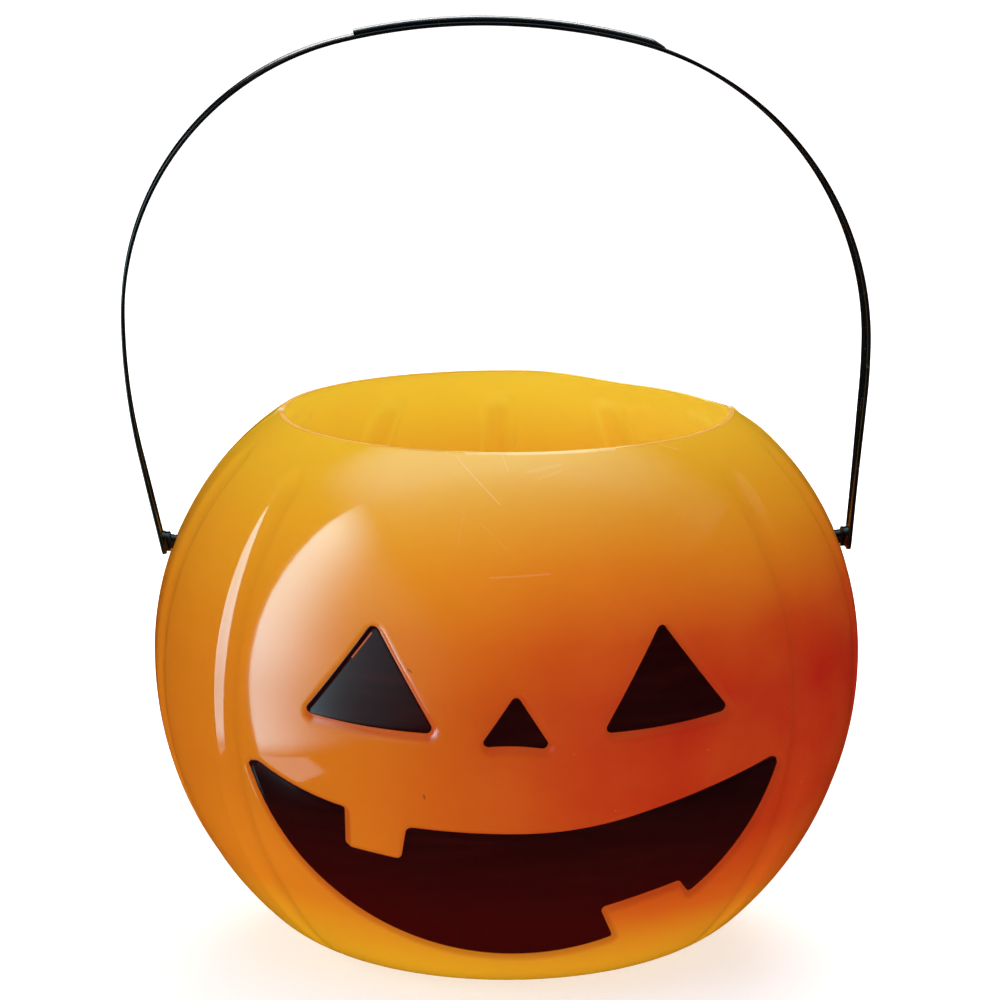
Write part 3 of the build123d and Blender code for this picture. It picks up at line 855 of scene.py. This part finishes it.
# %% Geometry tree that shapes the shell: face recess, seam ridge and rim
reach = clamped((inset + size["Shoulder Width"]) / size["Shoulder Width"])
recess = (1.0 - maths("COSINE", reach * (pi / 2))) * size["Recess Depth"]
from_seam = abs(around - pi / 2) * axis_gap
ridge = smooth_step(from_seam, size["Seam Half Width"], 0.0) * (size["Seam Height"] * (1.0 - within))
outwards = (ridge - maths("MAXIMUM", flute, recess)) * maths("GREATER_THAN", climb, 0.0)
low_turn, low_end, low_core = radians(128), radians(44), radians(14)
low_side = smooth_step(abs(turn - low_turn), low_end, low_core)
rim = size["Rim Climb"]
sag = low_side * (smooth_step(climb, rim - 14 * mm, rim) * size["Rim Sag"])
lumps = add_node(press, "ShaderNodeTexNoise", {"Scale": 1400.0, "Detail": 2.0})["Fac"]
nib = smooth_step(from_seam, 1.9 * mm, 0.5 * mm) * smooth_step(climb, rim - 1.6 * mm, rim)
upwards = nib * lumps * size["Flash Height"] - sag
along_skin = vector_maths("SCALE", stored(press, "skin_out", "FLOAT_VECTOR"), outwards)
shift = vector_maths("ADD", along_skin, add_node(press, "ShaderNodeCombineXYZ", {"Z": upwards})[0])
shape = store(store(size["Geometry"], "flash", nib), "flute", bite / size["Flute Depth"])
smooth = add_node(press, "GeometryNodeSetShadeSmooth", {"Geometry": offset(shape, shift)})[0]
finish_shape(smooth, size["Material"])


# %% Run the tree and keep the result as a plain mesh
def plain_mesh(obj, name):
    """Turn an object's evaluated result into a plain mesh object and drop the source"""
    bpy.context.view_layer.update()
    result = bpy.data.meshes.new_from_object(obj.evaluated_get(bpy.context.evaluated_depsgraph_get()))
    bpy.data.objects.remove(obj)
    result.name = name
    return add_object(name, result)


def shaped_by(obj, tree, values):
    """Give an object a geometry tree with its inputs set by identifier"""
    modifier = obj.modifiers.new(tree.name, "NODES")
    modifier.node_group = tree
    names = {item.name: item.identifier for item in tree.interface.items_tree if item.in_out == "INPUT"}
    for name, value in values.items():
        modifier[names[name]] = value


shaped_by(pail_blank, press, {"Material": orange})
pail = plain_mesh(pail_blank, "pumpkin_shell")
print("shell:", len(pail.data.vertices), "vertices,",
      sum(len(p.vertices) - 2 for p in pail.data.polygons), "triangles")


# %% [markdown]
# ## Peg holes
# Each side of the shell has a round hole for the bail's peg. A boolean cut makes it in the finished mesh,
# as the drill does on the real pail.

# %% Drill the two holes
def turned_mesh(name, profile, side, steps=40):
    """Turn a profile of (distance along X, radius) round the line of the pegs"""
    rings = [[(side * x, r * cos(a), peg_height + r * sin(a))
              for a in np.linspace(0, 2 * pi, steps, endpoint=False)] for x, r in profile]
    body = bmesh.new()
    loops = [[body.verts.new(p) for p in ring] for ring in rings]
    for first, second in zip(loops[:-1], loops[1:]):
        for i in range(steps):
            body.faces.new((first[i], first[(i + 1) % steps], second[(i + 1) % steps], second[i]))
    body.faces.new(loops[0][::-1])
    body.faces.new(loops[-1])
    bmesh.ops.recalc_face_normals(body, faces=body.faces[:])
    mesh = bpy.data.meshes.new(name)
    body.to_mesh(mesh)
    body.free()
    return add_object(name, mesh)


def combined(obj, others, operation, name):
    """Cut others from an object, or join them to it, and keep a plain mesh"""
    for other in others:
        modifier = obj.modifiers.new(other.name, "BOOLEAN")
        modifier.object, modifier.operation, modifier.solver = other, operation, "EXACT"
    piece = plain_mesh(obj, name)
    for other in others:
        bpy.data.objects.remove(other)
    return piece


peg_rise, hole_radius = 31.9 * mm, 2.2 * mm
peg_height = belly_height + peg_rise
drill = [(80 * mm, hole_radius), (110 * mm, hole_radius)]
drills = [turned_mesh(f"drill_{i}", drill, side) for i, side in enumerate((-1, 1))]
pail = combined(pail, drills, "DIFFERENCE", "pumpkin_shell")
print("shell after drilling:", len(pail.data.vertices), "vertices")

# %% [markdown]
# ## Paint films
# Each painted field is a film a tenth of a millimetre thick. The paint mask sat a little high on the real
# pail, so the film climbs the upper shoulder of each recess and leaves the lower shoulder orange. The film
# follows the same rule for the depth as the shell, which keeps it on the surface everywhere.

# %% Lay the films on the recess floors
film_thickness, film_root, film_edge = 0.12 * mm, 0.06 * mm, 0.5 * mm
ring_gaps = [0.2 * mm, 0.5 * mm, 0.95 * mm, 1.4 * mm, 1.9 * mm]
film_step, fill_gap = 1.5 * mm, 2.6 * mm


def recess_depth_at(points):
    share = np.clip((recess_inset(points) + shoulder_width) / shoulder_width, 0, 1)
    return recess_depth * (1 - np.cos(share * pi / 2))


def film_points(outline, floor_outline):
    """Give the points of a film: its outline, the crease of the floor, rings along the edge and a filling"""
    low, high = outline.min(0), outline.max(0)
    axes = np.meshgrid(*(np.arange(low[i], high[i], film_step) for i in (0, 1)))
    fill = np.column_stack([axis.ravel() for axis in axes])
    rings = []
    for gap in ring_gaps:
        ring = moved_inwards(outline, gap)
        clear = np.abs(inset_from(ring, floor_outline)) > 0.14 * mm
        rings.append(ring[clear & (np.abs(inset_from(ring, outline) - gap) < 0.05 * mm)])
    crease = floor_outline[inset_from(floor_outline, outline) > 0.15 * mm]
    return np.vstack([outline, crease] + rings + [fill[inset_from(fill, outline) > fill_gap]])


def lay_film(name, outline, floor_outline):
    points = film_points(outline, floor_outline)
    uv, triangles, _ = triangulated(points, loop_edges(0, len(outline)), 1)
    radius, height, out_r, out_z = skin_at(uv[:, 1])
    turn = uv[:, 0] / belly_radius
    skin = skin_vertices(turn, radius, height)
    out = np.column_stack([out_r * np.sin(turn), -out_r * np.cos(turn), out_z])
    depth = recess_depth_at(uv)
    swell = np.sqrt(np.clip(inset_from(uv, outline) / film_edge, 0, 1))
    front = skin - out * (depth - film_thickness * (0.25 + 0.75 * swell))[:, None]
    back = skin - out * (depth + film_root)[:, None]
    total = len(uv)
    sides = {(a, b): None for face in triangles for a, b in zip(face, face[1:] + face[:1])}
    shell = triangles + [tuple(i + total for i in face[::-1]) for face in triangles]
    shell += [(b, a, a + total, b + total) for a, b in sides if (b, a) not in sides]
    mesh = bpy.data.meshes.new(name)
    mesh.from_pydata(np.vstack([front, back]).tolist(), [], shell)
    mesh.materials.append(paint)
    body = bmesh.new()
    body.from_mesh(mesh)
    bmesh.ops.recalc_face_normals(body, faces=body.faces[:])
    for face in body.faces:
        face.smooth = True
    body.to_mesh(mesh)
    body.free()
    return add_object(name, mesh)


films = {name: lay_film(f"{name}_film", outline, recess_outlines[name])
         for name, outline in paint_outlines.items()}
print("films:", {name: len(film.data.polygons) for name, film in films.items()})

# %% [markdown]
# ## The bail strap
# The bail is a flat strip, moulded flat and sprung into an arch. Its line is two straight shanks, two flank
# arcs, two tight shoulders and a flat crown, so a short list of lengths and turns draws it, and a geometry
# tree runs a rounded section along it.

# %% Line of the strap
strap_width, strap_thickness = 9.0 * mm, 1.1 * mm
strap_x, tail_length, tail_round = 97.38 * mm, 3.4 * mm, 2.5 * mm
left_lean, right_lean = radians(12.65), radians(4.7)
left_rise, right_rise, crown_rise = 63.9 * mm, 56.0 * mm, 146.0 * mm
flank_arc, shoulder_share, crown_shift = 176 * mm, 0.9716, -4.7 * mm


def shank(lean, rise):
    """Give the straight length between a peg and the flank arc"""
    return (rise - flank_arc * sin(lean)) / cos(lean)


def widest(lean, rise):
    """Give the strap's reach from the axis at its widest place"""
    return strap_x + shank(lean, rise) * sin(lean) + flank_arc * (1 - cos(lean))


def crown_side(span, rise):
    """Give the shoulder's radius, the crown's radius and the shoulder's turn on one side"""
    climb = crown_rise - rise
    shoulder = shoulder_share * climb
    crown = (span ** 2 + climb ** 2 - 2 * span * shoulder) / (2 * (climb - shoulder))
    return shoulder, crown, atan2(crown - climb, span - shoulder)


left_reach, right_reach = widest(left_lean, left_rise), widest(right_lean, right_rise)
crown_x = (right_reach - left_reach) / 2 + crown_shift
left_shoulder, left_crown, left_bend = crown_side(crown_x + left_reach, left_rise)
right_shoulder, right_crown, right_bend = crown_side(right_reach - crown_x, right_rise)


def walk(start, heading, runs, lift=0.0, spacing=1.5 * mm):
    """Follow runs of (length, turn) in the XZ plane and give points, moved outwards by the lift"""
    def along(length, turn):
        step = length * np.sinc(turn / 2 / pi)
        return place + step * np.array((cos(heading + turn / 2), sin(heading + turn / 2)))

    def lifted(spot, turn):
        return spot + lift * np.array((-sin(heading + turn), cos(heading + turn)))

    points, place = [], np.array(start, float)
    for length, turn in runs:
        count = max(2, int(length / spacing))
        for share in np.arange(count) / count:
            points.append(lifted(along(length * share, turn * share), turn * share))
        place = along(length, turn)
        heading += turn
    return np.array(points + [lifted(place, 0.0)])


def arc_run(radius, turn):
    return (radius * turn, -turn)


tail_steps = [(tail_round / 10, 0.0)] * 10
tail_rest = tail_length - tail_round
strap_runs = tail_steps + [
    (tail_rest + shank(left_lean, left_rise), 0.0), arc_run(flank_arc, left_lean),
    arc_run(left_shoulder, left_bend), arc_run(left_crown, pi / 2 - left_bend),
    arc_run(right_crown, pi / 2 - right_bend), arc_run(right_shoulder, right_bend),
    arc_run(flank_arc, right_lean), (tail_rest + shank(right_lean, right_rise), 0.0)] + tail_steps
strap_start = (-strap_x + tail_length * sin(left_lean), peg_height - tail_length * cos(left_lean))
strap_line = walk(strap_start, pi / 2 + left_lean, strap_runs)
crown_height = peg_height + crown_rise
print("strap line:", len(strap_line), "points, top at", round(strap_line[:, 1].max() / mm, 2),
      "crown should be", round(crown_height / mm, 2))

# %% Geometry tree that runs a strip along a line
strip = bpy.data.node_groups.new("strip_along_line", "GeometryNodeTree")
size = named_inputs(strip, {
    "Geometry": "Geometry", "Width": strap_width, "Thickness": strap_thickness, "Edge Round": 0.32 * mm,
    "Tail Round": tail_round, "Twist": radians(-3.5), "Roll": radians(-1.0), "Material": "Material"})
run = add_node(strip, "GeometryNodeSplineParameter")["Length"]
from_end = maths("MINIMUM", run, add_node(strip, "GeometryNodeSplineLength")["Length"] - run)
line = store(size["Geometry"], "from_end", from_end)
lean = position(strip)["X"] / (100 * mm) * size["Twist"] + size["Roll"]
tilt = lean * smooth_step(from_end, 14 * mm, 50 * mm)
line = add_node(strip, "GeometryNodeSetCurveTilt", {"Curve": line, "Tilt": tilt})[0]
section = add_node(strip, "GeometryNodeCurvePrimitiveQuadrilateral", {
    "Width": size["Width"], "Height": size["Thickness"]})[0]
section = add_node(strip, "GeometryNodeFilletCurve", {
    "Curve": section, "Count": 3, "Radius": size["Edge Round"]}, mode="POLY")[0]
body = add_node(strip, "GeometryNodeCurveToMesh", {
    "Curve": line, "Profile Curve": section, "Fill Caps": True})[0]
tail = size["Tail Round"]
short = maths("MAXIMUM", tail - stored(strip, "from_end"), 0.0)
corner = maths("SQRT", tail * tail - short * short)
half_width = size["Width"] * 0.5
narrowed = (half_width - tail + corner) / half_width
pull = position(strip)["Y"] * (narrowed - 1.0)
finish_shape(offset(body, add_node(strip, "ShaderNodeCombineXYZ", {"Y": pull})[0]), size["Material"])


# %% Run the strip along the strap's line
def line_object(name, points):
    curve = bpy.data.curves.new(name, "CURVE")
    curve.dimensions = "3D"
    spline = curve.splines.new("POLY")
    spline.points.add(len(points) - 1)
    for point, (x, z) in zip(spline.points, points):
        point.co = (x, 0, z, 1)
    return add_object(name, curve)


def ease_shading(obj, sharp_turn):
    """Shade smooth, but keep edges sharper than a turn crisp"""
    body = bmesh.new()
    body.from_mesh(obj.data)
    bmesh.ops.remove_doubles(body, verts=body.verts[:], dist=0.002 * mm)
    bmesh.ops.recalc_face_normals(body, faces=body.faces[:])
    for face in body.faces:
        face.smooth = True
    for edge in body.edges:
        edge.smooth = len(edge.link_faces) == 2 and edge.calc_face_angle(0) < radians(sharp_turn)
    body.to_mesh(obj.data)
    body.free()


strap_curve = line_object("bail_strap_line", strap_line)
shaped_by(strap_curve, strip, {"Material": bail_black})
strap = plain_mesh(strap_curve, "bail_strip_body")
strap_spots = np.array([v.co for v in strap.data.vertices]) / mm
print("strap box in mm:", np.round(strap_spots.min(0), 2), np.round(strap_spots.max(0), 2))

# %% [markdown]
# ## Pegs
# Each end of the strap carries a peg with a trumpet-shaped root and a snap head that holds it inside the
# shell. The profile is turned like a lathe part and joined to the strap, because the real bail is one
# moulding.

# %% Turn the pegs, with profiles in mm from the snap face and the strap, and join them to the strap
snap_level, snap_gap, peg_radius = 34.9 * mm, 0.35 * mm, 1.9
snap_face = belly_radius - upper_arc + sqrt((upper_arc - wall) ** 2 - snap_level ** 2) - snap_gap
root_x = strap_x - strap_thickness / 2
snap_head = [(-2.6, 1.2), (-2.45, 1.5), (-0.25, 2.95), (0.0, 2.8), (0.02, peg_radius)]
collar = [(3.0, peg_radius), (2.5, 2.0), (1.95, 2.1), (1.75, 2.75), (1.6, 2.9), (1.2, 2.85), (0.8, 2.8),
          (0.4, 2.9), (0.0, 3.1)]
peg_profile = [(snap_face + outward * mm, radius * mm) for outward, radius in snap_head]
peg_profile += [(root_x - inward * mm, radius * mm) for inward, radius in collar]
peg_profile += [(strap_x - 0.1 * mm, 3.1 * mm)]
pegs = [turned_mesh(f"peg_{side}", peg_profile, side) for side in (-1, 1)]
strap = combined(strap, pegs, "UNION", "bail_strip")
strap.data.materials.clear()
strap.data.materials.append(bail_black)
ease_shading(strap, 40)
print("bail strap:", len(strap.data.vertices), "vertices")

# %% [markdown]
# ## Grip strip
# A second, shorter strip doubles the crown where the hand carries the pail. It is square at its left end
# and sloped at its right end. The same tree makes it along a line that lies one strip higher.

# %% Lay the grip on the crown
grip_thickness, grip_left, grip_right, grip_slope = 1.2 * mm, 35.1 * mm, 51.6 * mm, 3.0 * mm
grip_lift, crown_floor = (strap_thickness + grip_thickness) / 2, crown_height - 20 * mm
fine_line = walk(strap_start, pi / 2 + left_lean, strap_runs, grip_lift, 0.5 * mm)
fine_x, fine_z = fine_line.T
on_crown = (fine_x > crown_x - grip_left) & (fine_x < crown_x + grip_right) & (fine_z > crown_floor)
grip_curve = line_object("bail_grip_line", fine_line[on_crown])
shaped_by(grip_curve, strip, {"Width": strap_width - 0.9 * mm, "Thickness": grip_thickness - 0.04 * mm,
                              "Tail Round": 0.0, "Edge Round": 0.42 * mm, "Material": bail_black})
grip = plain_mesh(grip_curve, "grip_strip")
slope_start = fine_x[on_crown][-1] - grip_slope
for vertex in grip.data.vertices:
    short = (vertex.co.x - slope_start) / grip_slope
    if short > 0:
        near = np.argmin(np.abs(fine_x - vertex.co.x) + (fine_z < crown_floor))
        above = vertex.co.z - fine_z[near] + grip_thickness / 2
        vertex.co.z -= 0.8 * short * max(above, 0.0)
ease_shading(grip, 40)
print("grip ends in mm:", np.round(fine_line[on_crown][[0, -1]] / mm, 1).tolist())

# %% [markdown]
# ## Fit the pieces to the frame
# Shell and films ride on the pail, strap and grip on the bail. Each stands for its CAD node, which stays
# underneath for collision only.

# %% Ride and replace
fits = [(pail, "pail", "pail_shell", "orange_shell"), (strap, "bail", "bail_strap", "black_bail"),
        (grip, "bail", "bail_grip", "black_bail")]
fits += [(film, "pail", f"{name}_paint", "black_paint") for name, film in films.items()]
for piece, body_name, node, slot in fits:
    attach(piece, body_name)
    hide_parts(node)


# %% [markdown]
# ## Studio
# The pail stands on a white table in soft light: a large soft panel at the left, whose straight edge shows
# as the bright veil on the front, a broad light overhead, and a white surround. The panels are seen by
# reflections only, and lamps of their own light the pail, so each can be set by itself.

# %% Table
def flat_panel(name, corners):
    mesh = bpy.data.meshes.new(name)
    mesh.from_pydata(corners, [], [(0, 1, 2, 3)])
    obj = add_object(name, mesh)
    return obj


def seen_directly(paths):
    return maths("MAXIMUM", paths["Is Camera Ray"], paths["Is Transmission Ray"])


plain_white = (1.0, 1.0, 1.0, 1.0)
reach = 6.0
table = flat_panel("table", [(-reach, -reach, 0), (reach, -reach, 0), (reach, reach, 0), (-reach, reach, 0)])
white_table, tree = new_material("white_table")
paths = add_node(tree, "ShaderNodeLightPath")
seen = seen_directly(paths)
matt = add_node(tree, "ShaderNodeBsdfDiffuse", {"Color": mix_colour(seen, (0.85,) * 3, (0.50,) * 3)})[0]
lifted = smooth_step(vector_maths("LENGTH", object_place(tree)), 0.12, 0.40) * 0.4 + 0.60
table_glow = seen * lifted + paths["Is Diffuse Ray"] * 0.50
white = add_node(tree, "ShaderNodeEmission", {"Color": plain_white, "Strength": table_glow})[0]
finish_surface(tree, add_node(tree, "ShaderNodeAddShader", {0: matt, 1: white})[0])
table.data.materials.append(white_table)
table.visible_glossy = False

# %% Surround
world = bpy.data.worlds.new("white_surround")
bpy.context.scene.world = world
world.use_nodes = True
tree = world.node_tree
tree.nodes.clear()
paths = add_node(tree, "ShaderNodeLightPath")
ambient, mirrored = 0.40, 0.006
share = paths["Is Glossy Ray"] * (mirrored - ambient) + ambient
dim, bright = (add_node(tree, "ShaderNodeBackground", {"Color": plain_white, "Strength": strength})[0]
               for strength in (share, 1.0))
choice = add_node(tree, "ShaderNodeMixShader", {0: seen_directly(paths), 1: dim, 2: bright})[0]
add_node(tree, "ShaderNodeOutputWorld", {"Surface": choice})

# %% Soft panels, for reflections only
cool_white, pure_white = (0.52, 0.88, 1.0), (1.0, 1.0, 1.0)
panel_x, panel_edge, panel_end = -260 * mm, -64 * mm, -1500 * mm
panel_foot, panel_top = -30 * mm, 480 * mm
card_level, top_level, back_place = 1 * mm, 1.25, 1.3


def reflected_panel(name, corners, strength_of, tint=cool_white):
    """Add a panel that only reflections see, with a strength that varies over it"""
    panel = flat_panel(name, corners)
    material, tree = new_material(f"{name}_glow")
    strength = strength_of(split(object_place(tree)))
    light = add_node(tree, "ShaderNodeEmission", {"Color": (*tint, 1.0), "Strength": strength})[0]
    clear = add_node(tree, "ShaderNodeBsdfTransparent")[0]
    finish_surface(tree, add_node(tree, "ShaderNodeAddShader", {0: light, 1: clear})[0])
    panel.data.materials.append(material)
    panel.visible_camera = panel.visible_diffuse = panel.visible_shadow = panel.visible_transmission = False


def side_strength(spot):
    from_edge = panel_edge - spot["Y"]
    core = maths("EXPONENT", maths("POWER", from_edge / (92 * mm), 2.0) * -1.0) * 9.0
    tail = maths("EXPONENT", from_edge / (-260 * mm)) * 1.6
    low = smooth_step(spot["Z"], 50 * mm, 140 * mm) * 0.32 + 0.68
    foot = low * smooth_step(spot["Z"], -22 * mm, 6 * mm)
    return (core + tail) * (foot * (1.0 - smooth_step(spot["Z"], 300 * mm, 470 * mm)))


def card_strength(spot):
    return smooth_step(spot["Y"], -148 * mm, -130 * mm) * 2.4


def top_strength(spot):
    forward = maths("EXPONENT", maths("MINIMUM", spot["Y"], 0.0) / 0.28)
    right = smooth_step(spot["X"], 1.1, -0.1) * 0.88 + 0.12
    left = smooth_step(spot["X"], -1.2, -0.45) * smooth_step(spot["Y"], 0.7, 0.25)
    return forward * right * (left * 2.9)


def back_strength(spot):
    across = smooth_step(abs(spot["X"]), 0.30, 0.16)
    return across * smooth_step(abs(spot["Z"] - 0.398), 0.006, 0.016) * 2.4


reflected_panel("side_panel", [(panel_x, panel_end, panel_foot), (panel_x, panel_edge, panel_foot),
                               (panel_x, panel_edge, panel_top), (panel_x, panel_end, panel_top)],
                side_strength)
reflected_panel("table_card", [(-225 * mm, -66 * mm, card_level), (-213 * mm, -134 * mm, card_level),
                               (-172 * mm, -145 * mm, card_level), (-165 * mm, -90 * mm, card_level)],
                card_strength)
reflected_panel("top_panel", [(-1.2, -1.8, top_level), (1.6, -1.8, top_level), (1.6, 0.7, top_level),
                              (-1.2, 0.7, top_level)], top_strength)
reflected_panel("back_panel", [(-0.5, back_place, 0.30), (0.5, back_place, 0.30), (0.5, back_place, 0.55),
                               (-0.5, back_place, 0.55)], back_strength, pure_white)


# %% Lamps
def soft_lamp(name, place, aim, width, depth, watts):
    data = bpy.data.lights.new(name, "AREA")
    data.shape, data.size, data.size_y, data.energy = "RECTANGLE", width, depth, watts
    lamp = add_object(name, data)
    lamp.location = place
    aim_at(lamp, aim)
    lamp.visible_glossy = False


soft_lamp("side_light", (-0.95, -0.55, 0.55), (0, 0, 0.08), 0.7, 0.7, 4.2)
soft_lamp("fill_light", (0.75, -0.85, 0.45), (0, 0, 0.08), 0.9, 0.9, 1.0)
soft_lamp("top_light", (0.0, -0.05, 1.20), (0, 0, 0.1), 1.5, 1.5, 9.0)
soft_lamp("back_light", (0.15, 0.9, 0.75), (0, 0, 0.1), 0.8, 0.6, 12.0)
